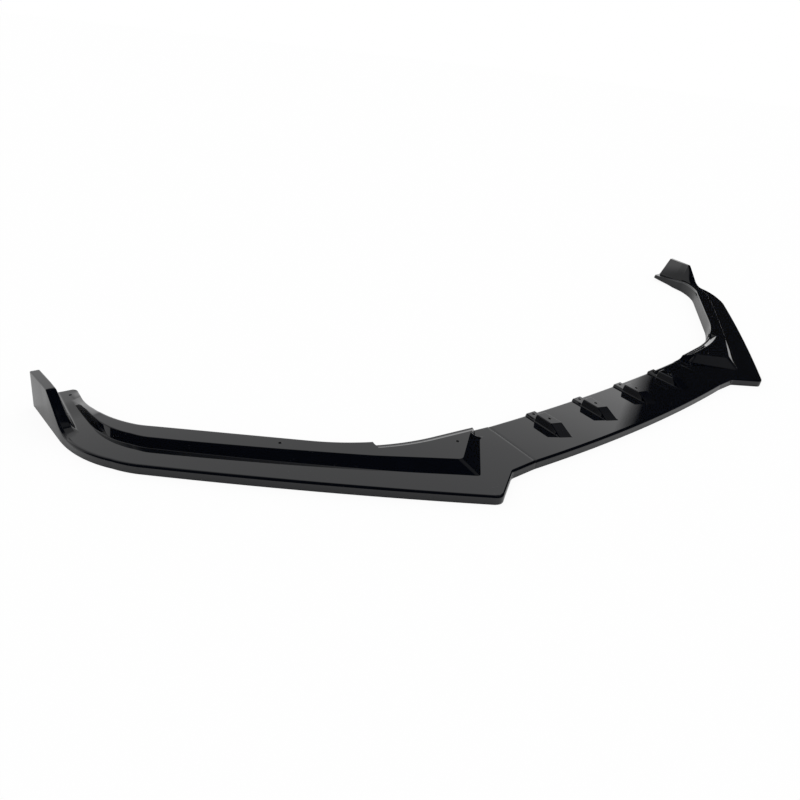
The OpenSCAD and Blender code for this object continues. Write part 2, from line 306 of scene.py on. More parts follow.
@dataclass
class MeshParts:
    """Grids and loose quads that are gathered into one mesh, with a mask of its hidden skin."""

    points: list[Array] = field(default_factory=list)
    faces: list[Array] = field(default_factory=list)
    masks: list[Array] = field(default_factory=list)
    count: int = 0

    def grid(self, g: Array, flip: bool = False, back: float = 0.0, closed: bool = False) -> None:
        """Adds a surface given as points on a grid.

        Args:
            g: points as (rows, columns, 3). The outside is to the left of the rows' direction
                when it is seen along the columns.
            flip: turn the surface over.
            back: 1 for the skin that is hidden below the lip, 0 for its outside.
            closed: join the last column to the first.
        """
        rows, cols = g.shape[:2]
        index = np.arange(rows * cols).reshape(rows, cols) + self.count
        if closed:
            index = np.concatenate([index, index[:, :1]], axis=1)
        quads = grid_quads(index)
        self.points.append(g.reshape(-1, 3))
        self.faces.append(quads[:, [0, 3, 2, 1]] if flip else quads)
        self.masks.append(np.full(rows * cols, back))
        self.count += rows * cols

    def strip(self, a: Array, b: Array, flip: bool = False, back: float = 0.0) -> None:
        """Adds the ruled surface between two lines of points of the same length."""
        self.grid(np.stack([a, b]), flip, back)

    def shell(self, outer: Array, inner: Array, end_wall: bool) -> None:
        """Adds the two skins of a shell and the strips between their edges.

        Args:
            outer: outer skin, as (rows, columns, 3).
            inner: inner skin, in the same shape.
            end_wall: whether a strip joins the last rows too.
        """
        self.grid(outer)
        self.grid(inner, flip=True, back=1.0)
        self.strip(inner[0], outer[0], back=1.0)
        if end_wall:
            self.strip(outer[-1], inner[-1], back=1.0)
        self.strip(inner[:, 0], outer[:, 0], flip=True, back=1.0)
        self.strip(inner[:, -1], outer[:, -1], back=1.0)

    def build(self, name: str, middle: float, mirrored: bool) -> bpy.types.Object:
        """Makes the object: joins equal points, turns it to metres and shades it smooth.

        Args:
            name: name of the object.
            middle: Y of the middle of the lip, which becomes the origin.
            mirrored: build it on the other side of the car, with its faces turned to suit.

        Returns:
            The new object, in the scene.
        """
        co = np.concatenate(self.points)
        quads = np.concatenate(self.faces)
        co = (co - [0.0, middle, 0.0]) * [-1.0 if mirrored else 1.0, 1.0, 1.0] / PER_METRE
        key = np.round(co * JOIN_GRID).astype(np.int64)
        _, first, same = np.unique(key, axis=0, return_index=True, return_inverse=True)
        mask = np.concatenate(self.masks)[first]
        quads = same.reshape(-1)[quads]
        quads = quads[:, ::-1] if mirrored else quads
        faces = [tuple(dict.fromkeys(q)) for q in quads.tolist()]
        faces = [q for q in faces if len(q) > 2]
        mesh = bpy.data.meshes.new(name)
        mesh.from_pydata(co[first].tolist(), [], faces)
        mesh.polygons.foreach_set("use_smooth", np.ones(len(mesh.polygons), bool))
        point_layer(mesh, "back_skin", mask)
        mesh.update()
        return put(name, mesh)


@dataclass
class ScrewHoles:
    """Plain round screw holes with a small broken edge, cut down through the skin."""

    radius: float = 2.25
    edge: float = 0.35
    depth: float = 7.0
    clear: float = 2.0
    sides: int = 48

    def cutter(self, places: list[tuple[float, float, float]]) -> MeshParts:
        """A turned plug for each hole: a cylinder that widens by edge where it meets the skin.

        Args:
            places: X, Y and the height of the skin for each hole, in millimetres.

        Returns:
            The parts of the cutting mesh.
        """
        r, e, low, high, axis = self.radius, self.edge, -self.depth, self.clear, 1e-4
        radius = np.array([axis, r, r, r + e, r + e + high, axis])
        height = np.array([low, low, -e, 0.0, high, high])
        angle = np.linspace(0.0, 2 * math.pi, self.sides + 1)[:, None]
        turned = np.stack(
            [radius * np.cos(angle), radius * np.sin(angle), height + 0 * angle], axis=-1
        )
        parts = MeshParts()
        for place in places:
            parts.grid(turned + np.array(place))
        return parts

    def cut(
        self, obj: bpy.types.Object, places: list[tuple[float, float, float]], middle: float,
        mirrored: bool,
    ) -> None:
        """Cuts the holes and removes the cutter.

        Args:
            obj: the section to cut.
            places: X, Y and skin height of each hole, in millimetres.
            middle: Y of the middle of the lip.
            mirrored: whether the section is the mirrored one.
        """
        plug = self.cutter(places).build("screw_hole_cutter", middle, mirrored)
        step = obj.modifiers.new("screw_holes", "BOOLEAN")
        step.operation, step.solver, step.object = "DIFFERENCE", "EXACT", plug
        graph = bpy.context.evaluated_depsgraph_get()
        cut = bpy.data.meshes.new_from_object(obj.evaluated_get(graph))
        old = obj.data
        obj.modifiers.clear()
        obj.data = cut
        cut.name = old.name
        bpy.data.meshes.remove(old)
        bpy.data.objects.remove(plug)
        LOG.info("%s: %d screw holes, %d faces", obj.name, len(places), len(cut.polygons))


@dataclass
class SideSection:
    """A side section: stepped and swept front edge, mounting ledge and winglet.

    Lengths are in millimetres and angles in degrees. A place counts the legs of the front rail:
    0 is the seam, 1 and 2 the bends of the step, 3 the outer corner and 4 the rear end. A
    Stretch is the place where a change starts and its length, negative for one that ends there.
    """

    step_start: float = 51.0
    step_run: float = 57.0
    step_depth: float = 37.0
    step_radius: float = 14.0
    sweep_length: float = 591.0
    sweep_angle: float = 37.0
    sweep_bow: float = 6.5
    corner_radius: float = 190.0
    side_length: float = 197.0
    side_flare: float = 7.0
    ledge_height: float = 14.0
    tab_height: float = 1.5
    ledge_setback: float = 42.0
    foot_angle: float = 48.0
    crest_angle: float = 39.0
    seam_strips: tuple[float, float] = (20.0, 14.0)
    turn_strips: tuple[float, float] = (20.5, 16.0)
    foot_start: float = 2.045
    crest_start: float = 2.09
    foot_extra: tuple[float, float] = (3.5, 1.5)
    foot_extra_over: tuple[Stretch, Stretch] = ((2.25, -0.25), (3.1, 0.2))
    crest_places: tuple[float, ...] = (2.0, 2.1, 2.25, 2.5, 2.74, 2.9, 3.4)
    crest_runs: tuple[float, ...] = (24.0, 21.0, 15.5, 11.5, 8.0, 6.4, 6.4)
    foot_reach: float = 5.0
    crest_reach: float = 7.0
    paired_places: tuple[tuple[float, float], ...] = (
        (0, 0), (1, 1), (2, 1.49), (2.25, 1.895), (2.5, 2.35), (2.8, 2.72), (3, 2.955),
        (3.2, 3.15), (3.47, 3.37), (3.7, 3.6), (4, 4),
    )
    softened_over: tuple[Stretch, Stretch] = ((1.5, 0.3), (2.6, -0.3))
    end_radius: float = 14.0
    end_rise: float = 0.72
    end_run: float = 0.28
    rear_inner: float = 36.0
    joggle_drop: float = 5.0
    joggle_width: float = 9.0
    notch: float = 2.22
    notch_step: float = 2.0
    joggle_run: float = 8.0
    joggle_delay: float = 0.02
    joggle_ramp: float = 0.4
    crown_strip: float = 2.5
    ledge_fall: float = 83.0
    fall_share: float = 0.55
    tab_length: float = 39.5
    tab_corner: float = 8.0
    tab_bulge: float = 2.0
    tab_tilt: float = 2.0
    tab_over: Stretch = (3.5, 0.3)
    bulge_over: Stretch = (3.4, 0.15)
    tilt_over: tuple[Stretch, Stretch] = ((3.3, 0.4), (3.95, -0.15))
    tilt_shares: tuple[float, float] = (0.6, 0.7)
    flange_lift: float = 8.0
    arch_edge: float = 4.0
    arch_over: tuple[Stretch, Stretch] = ((2.85, 0.15), (3.7, -0.15))
    rear_over: Stretch = (3.6, 0.4)
    rake_over: Stretch = (3.7, 0.3)
    rim_places: tuple[float, float] = (3.357, 3.595)
    rim_places_inside: tuple[float, float] = (3.38, 3.575)
    hollow: float = 9.0
    crisp_rise: float = 45.0
    winglet_height: float = 66.0
    rim_width: float = 12.8
    rim_splay: float = 3.2
    rim_radius: float = 1.7
    inner_foot: float = 24.0
    inner_foot_rear: float = 35.0
    inner_foot_over: Stretch = (3.45, 0.55)
    face_lean: float = 0.09
    foot_lean: float = 2.5
    foot_lean_over: Stretch = (3.2, 0.16)
    rim_slope: float = 53.0
    rim_level: float = 77.0
    rear_rake: float = 0.18
    ledge_depth: float = 76.0
    rear_skew: float = 6.5
    tab_width: float = 62.0
    rear_bend_radius: float = 366.0
    arch_radius: float = 182.0
    corner_radii: tuple[float, ...] = (5.0, 1.6, 2.0, 1.6, 1.6)
    inner_hole: float = 90.0
    inner_hole_share: float = 0.62
    tab_hole: float = 20.0
    tab_hole_share: float = 0.35
    tab_hole_rise: float = 1.0

    def __post_init__(self) -> None:
        """Lays out the rails that the sections follow."""
        sweep = ahead(self.sweep_angle)
        seam = np.array([SEAM_X + SEAM_GAP / 2, 0.0])
        step_in = seam + [self.step_start, 0.0]
        step_out = step_in + [self.step_run, -self.step_depth]
        corner = step_out + self.sweep_length * sweep
        self.seam = seam
        self.rear_end = corner + self.side_length * ahead(90.0 - self.side_flare)
        self.front_rail = Rail(
            np.array([seam, step_in, step_out, corner, self.rear_end]),
            (0.0, self.step_radius, self.step_radius, self.corner_radius, 0.0),
        )
        rear_y = seam[1] + SEAM_DEPTH
        foot_2 = self.outer_foot(np.array([2.0]))[0]
        crest_2 = self.outer_crest(np.array([2.0]))[0]
        foot_0, crest_0 = ([seam[0], rear_y - strip] for strip in self.seam_strips)
        foot_1 = self.slanted(foot_2, rear_y - self.turn_strips[0], self.foot_angle)
        crest_1 = self.slanted(crest_2, rear_y - self.turn_strips[1], self.crest_angle)
        self.tab_front = 4.0 - self.tab_length / self.side_length
        self.slope_end = 4.0 - self.rim_level / self.side_length
        self.rim_front = self.slope_end - self.rim_slope / self.side_length
        ends = (0.0, self.end_radius, 0.0)
        self.foot_rail = Rail(np.array([foot_0, foot_1, foot_2]), ends)
        self.crest_rail = Rail(np.array([crest_0, crest_1, crest_2]), ends)
        self.crest_2, self.rear_y = crest_2, rear_y
        rear_0 = np.array([seam[0], rear_y])
        skew = np.array([1.0, math.tan(math.radians(self.rear_skew))])
        rear_1 = rear_0 + self.rear_inner * skew
        sweep_back = step_out + self.ledge_depth * left_of(sweep)
        tab_corner = self.rear_end - [self.tab_width, 0.0]
        rear_2 = meet(rear_0, skew, sweep_back, sweep)
        rear_3 = meet(sweep_back, sweep, tab_corner, np.array([0.0, 1.0]))
        self.back_rail = Rail(
            np.array([rear_0, rear_1, rear_2, rear_3, tab_corner]),
            (0.0, 0.0, self.rear_bend_radius, self.arch_radius, 0.0),
        )

    @staticmethod
    def slanted(corner: Array, y: float, angle: float) -> Array:
        """The point at height y on the plan on a line that leans back from a corner."""
        slant = np.array([-1.0 / math.tan(math.radians(angle)), 1.0])
        return corner + (y - corner[1]) * slant

    def front(self, t: Array) -> Array:
        """The front rail, with the sweep bowed outward as a parabola."""
        bow = np.where((t > 2) & (t < 3), 4 * (t - 2) * (3 - t), 0.0)
        return self.front_rail.at(t) - self.sweep_bow * bow[:, None] * left_of(
            ahead(self.sweep_angle)
        )

    def inward(self, t: Array) -> Array:
        """Unit vectors off the front rail into the lip, straight across at the rear end."""
        side = left_of(unit(self.front(t + 0.01) - self.front(t - 0.01)))
        k = self.along(t, self.rear_over)[:, None]
        return unit(side * (1 - k) + np.array([-1.0, 0.0]) * k)

    @staticmethod
    def along(t: Array, stretch: Stretch) -> Array:
        """0 before a stretch, 1 after it and an even slope between."""
        return limit((t - stretch[0]) / stretch[1])

    @staticmethod
    def eased(t: Array, stretch: Stretch) -> Array:
        """0 before a stretch, 1 after it and a smooth step between."""
        return smooth((t - stretch[0]) / stretch[1])

    def between(self, t: Array, ends: tuple[Stretch, Stretch]) -> Array:
        """1 between two stretches and 0 beyond them, with a smooth step over each."""
        return self.eased(t, ends[0]) * self.eased(t, ends[1])

    def beside(self, t: Array, start: float, offset: Array | float) -> Array:
        """Points at an offset off the front rail, starting at the place start when t is 2."""
        s = np.where(t < 3, start + (3.0 - start) * (t - 2.0), t)
        return self.front(s) + np.reshape(offset, (-1, 1)) * self.inward(s)

    def foot(self, t: Array) -> Array:
        """Foot of the ledge wall."""
        inner = self.foot_rail.at(np.minimum(t, 2.0))
        return np.where((t < 2)[:, None], inner, self.outer_foot(t))

    def outer_foot(self, t: Array) -> Array:
        """Foot of the wall beside the sweep and the outer corner, set back farther at its ends."""
        start, end = (
            extra * self.eased(t, over)
            for extra, over in zip(self.foot_extra, self.foot_extra_over)
        )
        return self.beside(t, self.foot_start, self.ledge_setback + start + end)

    def outer_crest(self, t: Array) -> Array:
        """Crest of the wall beside the sweep and the outer corner, a narrowing run behind it."""
        run = np.interp(t, self.crest_places, self.crest_runs)
        return self.beside(t, self.crest_start, self.ledge_setback + run)

    def crest(self, t: Array) -> Array:
        """Crest of the ledge wall, whose run narrows toward the outer corner."""
        inner = self.crest_rail.at(np.minimum(t, 2.0))
        return np.where((t < 2)[:, None], inner, self.outer_crest(t))

    def softened(self, path: Callable[[Array], Array], t: Array, reach: float) -> Array:
        """A path averaged over a stretch about each point, which rounds its sharp corners.

        The running sum of the points along the path's length is read at both ends of the
        stretch, and the difference is divided by the stretch.

        Args:
            path: foot or crest.
            t: places to work out.
            reach: half the length of the stretch, in millimetres.

        Returns:
            The averaged plan points.
        """
        s = np.linspace(1.2, 2.9, 6000)
        p = path(s)
        length = np.concatenate([[0.0], np.cumsum(np.linalg.norm(np.diff(p, axis=0), axis=1))])
        step = np.diff(length)[:, None] * (p[1:] + p[:-1]) / 2
        total = np.concatenate([np.zeros((1, 2)), np.cumsum(step, axis=0)])
        here = np.interp(t, s, length)
        first, last = (over[0] for over in self.softened_over)
        reach_here = reach * self.between(t, self.softened_over) + 1e-3
        ends = here + reach_here, here - reach_here
        hi, lo = (np.stack([np.interp(e, length, v) for v in total.T], axis=1) for e in ends)
        mean = (hi - lo) / (ends[0] - ends[1])[:, None]
        inside = (t > first) & (t < last)
        return np.where(inside[:, None], mean, path(t))

    def joggled(self, t: Array) -> Array:
        """1 where the rear edge is joggled, 0 elsewhere."""
        ramp = (self.end_rise + self.joggle_delay, self.joggle_ramp * self.end_run)
        return np.where(t > self.notch, 0.0, self.eased(t, ramp))

    def back_line(self, t: Array) -> Array:
        """The rear rail at the place that pairs with t on the front rail."""
        front, rear = np.array(self.paired_places).T
        return self.back_rail.at(np.interp(t, front, rear))

    def back(self, t: Array) -> Array:
        """The rear edge, drawn in by a small step inboard of the notch and round the tab."""
        left = limit((4.0 - t) * self.side_length / self.tab_corner)
        drawn = self.tab_corner * (1.0 - np.sqrt(1.0 - (1.0 - left) ** 2))
        out = self.tab_bulge * self.eased(t, self.bulge_over)
        step_in = -self.notch_step * self.joggled(t)
        return self.back_line(t) + np.stack([drawn - out, step_in], axis=1)

    def ledge_z(self, t: Array) -> Array:
        """Height of the ledge, which falls to the tab at the rear end, partly as a line."""
        rise = self.ledge_height * self.eased(t, (self.end_rise, self.end_run))
        left = (self.tab_front - t) * self.side_length / self.ledge_fall
        share = self.fall_share * limit(left) + (1.0 - self.fall_share) * smooth(left)
        level = self.tab_height + (self.ledge_height - self.tab_height) * share
        return TOP + np.where(t < 2, rise, level)

    def rise(self, t: Array, inside: bool = False) -> Array:
        """Height of the winglet's rim above the plate, at its outer or its inner edge.

        The straight slope meets the plate in a parabola, which hollows out its foot. At the
        inner edge the slope starts farther back and is steeper.

        Args:
            t: places along the section.
            inside: whether the height is for the inner edge.

        Returns:
            Heights in millimetres.
        """
        lo, hi = self.rim_places_inside if inside else self.rim_places
        high, soft = self.winglet_height - TOP, self.hollow
        s = (t - lo) * self.side_length
        hollow = np.where(s < soft, np.maximum(s + soft, 0.0) ** 2 / (4 * soft), s)
        return np.minimum(high * hollow / ((hi - lo) * self.side_length), high)

    def places(self) -> tuple[Array, Array]:
        """Places along the section, closer together where it turns and at its rounded ends.

        Returns:
            The places, and how far the skin is drawn in there to round the ends.
        """
        rail, cut = self.front_rail, self.notch
        a1, a2 = 1 - rail.before[1], 1 + rail.after[1]
        b1, b2 = 2 - rail.before[2], 2 + rail.after[2]
        level = self.slope_end
        near, near_draw = round_end(SEAM_ROUND, SEAM_ROWS)
        far, far_draw = round_end(1.1, 6)
        first, last = near[-1] / self.step_start, 4.0 - far[-1] / self.side_length
        parts = [
            (first, 0.7, 8), (0.7, a1, 16), (a1, a2, 10), (a2, b1, 24), (b1, b2, 20),
            (b2, cut - 0.002, 20), (cut - 0.002, cut + 0.002, 1), (cut + 0.002, 2.8, 50),
            (2.8, self.rim_front, 70),
            (self.rim_front, level - 0.02, 22), (level - 0.02, level + 0.02, 6),
            (level + 0.02, last, 34),
        ]
        runs = [np.linspace(lo, hi, n, endpoint=False) for lo, hi, n in parts]
        ends = near[:-1] / self.step_start, 4.0 - far[::-1] / self.side_length
        t = np.concatenate([ends[0], *runs, ends[1]])
        draw = np.zeros(len(t))
        draw[: len(near) - 1], draw[-len(far) :] = near_draw[:-1], far_draw[::-1]
        return t, draw

    def cage(self, t: Array) -> Array:
        """Corners of the outer skin at each place, from the lower front to the lower rear edge.

        Args:
            t: places along the section.

        Returns:
            Corners as (places, 10, 3): lower front edge, upper front edge or outer edge of the
            rim, inner edge of the rim, foot of the winglet, foot and crest of the ledge wall,
            top and bottom of the joggle, upper and lower rear edge.
        """
        f, r = self.front(t), self.back(t)
        b = self.softened(self.foot, t, self.foot_reach)
        c = self.softened(self.crest, t, self.crest_reach)
        nf = self.inward(t)
        later, earlier = self.back_line(np.minimum(4.0, t + 0.01)), self.back_line(t - 0.01)
        nr = left_of(unit(later - earlier))
        fb, cr = unit(b - f), unit(r - c)
        fb = fb / np.maximum(0.4, (fb * nf).sum(1, keepdims=True))
        cr = cr / np.maximum(0.4, (cr * nr).sum(1, keepdims=True))
        up, j = self.rise(t), self.joggled(t)
        h = self.ledge_z(t)
        wider = (self.inner_foot_rear - self.inner_foot) * self.along(t, self.inner_foot_over)
        width = self.inner_foot + wider
        below = 1.0 - up / (self.winglet_height - TOP)
        foot = self.eased(t, self.foot_lean_over) * below
        lean, q = self.face_lean * up + self.foot_lean * foot, self.rear_radius(t)
        rim = self.rim_width + self.rim_splay * below
        floor = TOP + self.tab_height * self.eased(t, self.tab_over)
        low = self.flange_lift * self.along(t, self.rear_over)
        room = np.linalg.norm(r - c, axis=1) / np.linalg.norm(cr, axis=1) - q - self.joggle_run
        strip = np.minimum(j * self.joggle_width, np.maximum(room, 0.0))
        share = limit((h - TOP) / self.ledge_height)
        back = h - strip / self.joggle_width * self.joggle_drop * share
        tilt = self.tab_tilt * self.between(t, self.tilt_over)
        crown_tilt, strip_tilt = (share * tilt for share in self.tilt_shares)

        def off(p: Array, d: Array, k: Array | float) -> Array:
            """Plan points p moved by k along d."""
            return p + d * np.reshape(k, (-1, 1))

        rows = [
            lift(f, 0.0),
            lift(off(f, fb, lean), np.maximum(floor, TOP + up)),
            lift(off(f, fb, lean + rim), np.maximum(floor, TOP + self.rise(t, True))),
            lift(off(f, fb, width), floor),
            lift(b, floor),
            lift(c, h),
            lift(off(r, cr, -(strip + q + self.crown_strip)), h + crown_tilt),
            lift(off(r, cr, -(np.maximum(strip - self.joggle_run, 0.0) + q + 1.0)),
                 back + strip_tilt),
            lift(r, back + tilt),
            lift(r, low),
        ]
        g = np.stack(rows, axis=1)
        k = self.along(t, self.rake_over)
        g[..., 1] -= k[:, None] * self.rear_rake * g[..., 2]
        return g

    def rear_radius(self, t: Array) -> Array:
        """Radius of the rear upper edge, larger where the edge turns round the arch."""
        return REAR_RADIUS + self.arch_edge * self.between(t, self.arch_over)

    def radii(self, t: Array, inner: bool) -> Array:
        """Radii of the eight inner corners; the front edge gets crisper along the winglet's rim.

        Args:
            t: places along the section.
            inner: whether the radii are for the skin below.

        Returns:
            Radii as (places, 8).
        """
        crisp = limit(self.rise(t) / self.crisp_rise)
        e = EDGE_RADIUS + (self.rim_radius - EDGE_RADIUS) * crisp
        rest = np.broadcast_to(self.corner_radii, (len(t), len(self.corner_radii)))
        columns = [e[:, None], e[:, None], rest, self.rear_radius(t)[:, None]]
        outer = np.concatenate(columns, axis=1)
        turned_in = np.array([-1, -1, 1, 1, -1, -1, 1, -1]) * WALL
        return np.maximum(outer + turned_in, 0.5) if inner else outer

    def skin(self, t: Array, cage: Array, inner: bool = False) -> Array:
        """The rounded profile on a cage, with the long legs split."""
        g = round_corners(cage, self.radii(t, inner), ARC_STEPS)
        return split_legs(g, [4, 2, 4, 6, 2, 6, 1, 1, 1])

    def build(self, side: Side, middle: float) -> bpy.types.Object:
        """Makes a side section.

        The inner skin is the outer cage moved in by the wall, rounded by its own radii. Its
        last rows stop one wall short of the rear end, where a second wall closes it.

        Args:
            side: side of the car.
            middle: Y of the middle of the lip.

        Returns:
            The finished object.
        """
        t, draw = self.places()
        outer = self.skin(t, inset_cage(self.cage(t), draw))
        t_in = t - WALL / self.side_length * self.along(t, self.rake_over)
        inner = self.skin(t_in, inset_cage(self.cage(t_in), WALL), inner=True)
        parts = MeshParts()
        parts.shell(outer, inner, end_wall=False)
        self.close_rear(parts, outer[-1], inner[-1])
        obj = parts.build(f"{side.name.lower()}_side_shell", middle, side is Side.RIGHT)
        self.cut_holes(obj, side, middle)
        return obj

    def close_rear(self, parts: MeshParts, outer: Array, inner: Array) -> None:
        """Closes the rear end with a wall: a column hangs from each point of both profiles."""
        feet = []
        for line, flip, back in ((outer, False, 0.0), (inner, True, 1.0)):
            column, low = line[:-1], line[-1]
            s = (column[:, 0] - line[0, 0]) / (column[-1, 0] - line[0, 0])
            foot = line[0] + (low - line[0]) * s[:, None]
            foot[:, 1] = column[:, 1] + self.rear_rake * (column[:, 2] - foot[:, 2])
            foot[-1] = low
            parts.strip(column, foot, flip=flip, back=back)
            feet.append(foot)
        parts.strip(feet[0], feet[1], back=1.0)

    def cut_holes(self, obj: bpy.types.Object, side: Side, middle: float) -> None:
        """Cuts the three screw holes of the ledge and the rear tab."""
        crest, back = self.crest(np.array([2.5, 4.0])), self.back(np.array([2.5, 4.0]))
        share = self.inner_hole_share
        inner_y = self.crest_2[1] * (1.0 - share) + self.rear_y * share
        centre = (crest[0] + back[0]) / 2
        tab = crest[1] + (back[1] - crest[1]) * self.tab_hole_share - [0.0, self.tab_hole]
        ledge = TOP + self.ledge_height
        places = [
            (self.seam[0] + self.inner_hole, inner_y, ledge),
            (centre[0], centre[1], ledge),
            (tab[0], tab[1], TOP + self.tab_height + self.tab_hole_rise),
        ]
        ScrewHoles().cut(obj, places, middle, side is Side.RIGHT)


@dataclass
class CentreSection:
    """The centre section: a bowed plate with four hollow screw pedestals and two tongues."""

    front_bow: float = 12.0
    rear_bow: float = 9.0
    tongue_reach: float = 26.0
    tongue_margin: float = 4.0
    tongue_corner: float = 6.0
    tongue_edge: float = 0.5
    pedestal_places: tuple[float, ...] = (-185.0, -63.0, 63.0, 185.0)
    pedestal_width: float = 20.0
    pedestal_height: float = 14.0
    pedestal_tab: float = 4.0
    pedestal_length: float = 35.0
    pedestal_slope: float = 25.0
    pedestal_tab_length: float = 22.0
    pedestal_slant: float = 3.0
    pedestal_inset: float = 0.4
    pedestal_step: float = 1.4
    draft: float = 1.2
    plain_radii: tuple[float, ...] = (EDGE_RADIUS, 3.0, 3.0, 1.4, 1.2, REAR_RADIUS)
    raised_radii: tuple[float, ...] = (EDGE_RADIUS, 3.0, 3.0, 1.4, 1.2, 1.3)
    tab_hole: float = 8.0
    crown_hole: float = 20.0

    def bowed(self, x: Array, edge: float, bow: float) -> Array:
        """Y of a bowed edge: a parabola through edge at the seams, bow less in the middle."""
        return edge - bow * (1.0 - (x / SEAM_X) ** 2)

    def rows(self, inset: float) -> tuple[Array, Array, Array]:
        """Places across the car, with the share of a pedestal's height at each of them.

        Both sides of a pedestal are the rounded profile of its side wall: foot fillet, wall
        with draft, and rounded top edge.

        Args:
            inset: how far the walls of the pedestals lie inside their outer faces.

        Returns:
            X, share of the pedestal's height, and signed distance from the pedestal's middle
            as a share of its half width.
        """
        half, high = self.pedestal_width / 2, self.pedestal_height
        foot = half + self.draft - inset
        corners = np.array(
            [[foot + 5, 0, 0], [foot, 0, 0], [half - inset, 0, high], [half - inset - 3, 0, high]]
        )[None]
        fillets = np.array([0.6, 1.5]) if inset else np.array([1.8, 1.4])
        side = round_corners(corners.astype(float), fillets, ARC_STEPS + 1)[0]
        u = np.concatenate([-side[:, 0], np.linspace(-half + 5, half - 5, 5)[1:-1], side[::-1, 0]])
        f = np.concatenate([side[:, 2], [high] * 3, side[::-1, 2]]) / high
        end, places = SEAM_X - SEAM_GAP / 2, self.pedestal_places
        starts = [-end, *(place + u[-1] for place in places)]
        stops = [*(place + u[0] for place in places), end]
        plain = [np.linspace(lo, hi, 14)[1:-1] for lo, hi in zip(starts, stops)]
        x, share, across = [plain[0]], [0 * plain[0]], [0 * plain[0]]
        for place, after in zip(places, plain[1:]):
            x += [place + u, after]
            share += [f, 0 * after]
            across += [u / half, 0 * after]
        return np.concatenate(x), np.concatenate(share), np.concatenate(across)

    def cage(self, x: Array, across: Array, raised: bool) -> Array:
        """Corners of the plain plate, or of a section through a pedestal, at each X.

        Args:
            x: places across the car.
            across: distance from a pedestal's middle as a share of its half width, by which
                its front edges slant.
            raised: whether the section goes over a pedestal.

        Returns:
            Corners as (places, 8, 3).
        """
        front, rear = self.bowed(x, 0.0, self.front_bow), self.bowed(x, SEAM_DEPTH, self.rear_bow)
        tab = rear - self.pedestal_inset - self.pedestal_tab_length
        crown = tab - self.pedestal_length
        slant = self.pedestal_slant * np.clip(across, -1.3, 1.3)
        up, low = (self.pedestal_height, self.pedestal_tab) if raised else (0.0, 0.0)
        in_here = self.pedestal_inset if raised else 0.0
        yz = [
            (front, 0.0), (front, TOP), (crown - self.pedestal_slope - 1.4 * slant, TOP),
            (crown - slant, TOP + up), (tab, TOP + up), (tab + self.pedestal_step, TOP + low),
            (rear - in_here, TOP + low), (rear, 0.0),
        ]
        return np.stack([np.stack([x, y, 0 * x + z], axis=1) for y, z in yz], axis=1)

    def skin(self, inset: float) -> Array:
        """The whole skin: sections blended between plain plate and pedestal.

        A point is the plate's point moved toward the pedestal's by the share of its height.

        Args:
            inset: nothing for the outer skin, one wall for the inner one.

        Returns:
            Points as (rows, points, 3).
        """
        x, share, across = self.rows(inset)
        ease, draw = round_end(SEAM_ROUND, SEAM_ROWS)
        end = SEAM_X - SEAM_GAP / 2
        x = np.concatenate([-end + ease, x, end - ease[::-1]])
        pad = np.zeros(len(ease))
        share, across = (np.concatenate([pad, v, pad]) for v in (share, across))
        plain, raised = self.cage(x, across, False), self.cage(x, across, True)
        depth = np.full(len(x), inset)
        if not inset:
            depth[: len(ease)], depth[-len(ease) :] = draw, draw[::-1]
        plain, raised = inset_cage(plain, depth), inset_cage(raised, depth)
        k = share[:, None, None]
        cage = plain * (1 - k) + raised * k
        outer, over = np.array(self.plain_radii), np.array(self.raised_radii)
        if inset:
            turned_in = np.array([-1, 1, -1, -1, 1, -1]) * inset
            outer, over = (np.maximum(v + turned_in, 0.4) for v in (outer, over))
        radii = outer * (1 - share[:, None]) + over * share[:, None]
        return split_legs(round_corners(cage, radii, ARC_STEPS), [3, 5, 4, 5, 2, 4, 1])

    def tongue(self, parts: MeshParts, sign: float) -> None:
        """A tongue that reaches under a side section: a flat plate with rounded corners.

        Loops of a rounded rectangle are stacked, drawn in at the top and bottom edges.

        Args:
            parts: where the tongue is added.
            sign: side of the car.
        """
        x0, x1 = SEAM_X - self.tongue_reach, SEAM_X + self.tongue_reach
        y0, y1 = WALL + self.tongue_margin, SEAM_DEPTH - WALL - self.tongue_margin
        top, edge = TOP - WALL - SEAM_GAP, self.tongue_edge
        centre, half = np.array([x0 + x1, y0 + y1]) / 2, np.array([x1 - x0, y1 - y0]) / 2
        a = np.linspace(0, 2 * math.pi, 64, endpoint=False) + math.pi / 64
        circle = np.stack([np.cos(a), np.sin(a)], axis=1)
        rings = []
        for draw, z in ((half.min(), 0.0), (edge, 0.0), (0.0, edge), (0.0, WALL - edge),
                        (edge, WALL), (half.min(), WALL)):
            r = max(0.05, self.tongue_corner - draw)
            size = np.maximum(half - draw - r, 0.0)
            ring = centre + size * np.sign(circle) + r * circle
            rings.append(lift(ring, top - WALL + z))
        loops = np.stack(rings)
        loops[..., 0] *= sign
        parts.grid(loops, flip=sign > 0, back=1.0, closed=True)
        neck = np.array([[x0, top - 1.0], [x0, TOP - WALL + 0.1], [SEAM_X - 1.0, TOP - WALL + 0.1],
                         [SEAM_X - 1.0, top - 1.0]])
        line = [np.stack([neck[:, 0] * sign, np.full(4, y), neck[:, 1]], axis=1) for y in (y0, y1)]
        parts.grid(np.stack(line), flip=sign < 0, back=1.0, closed=True)

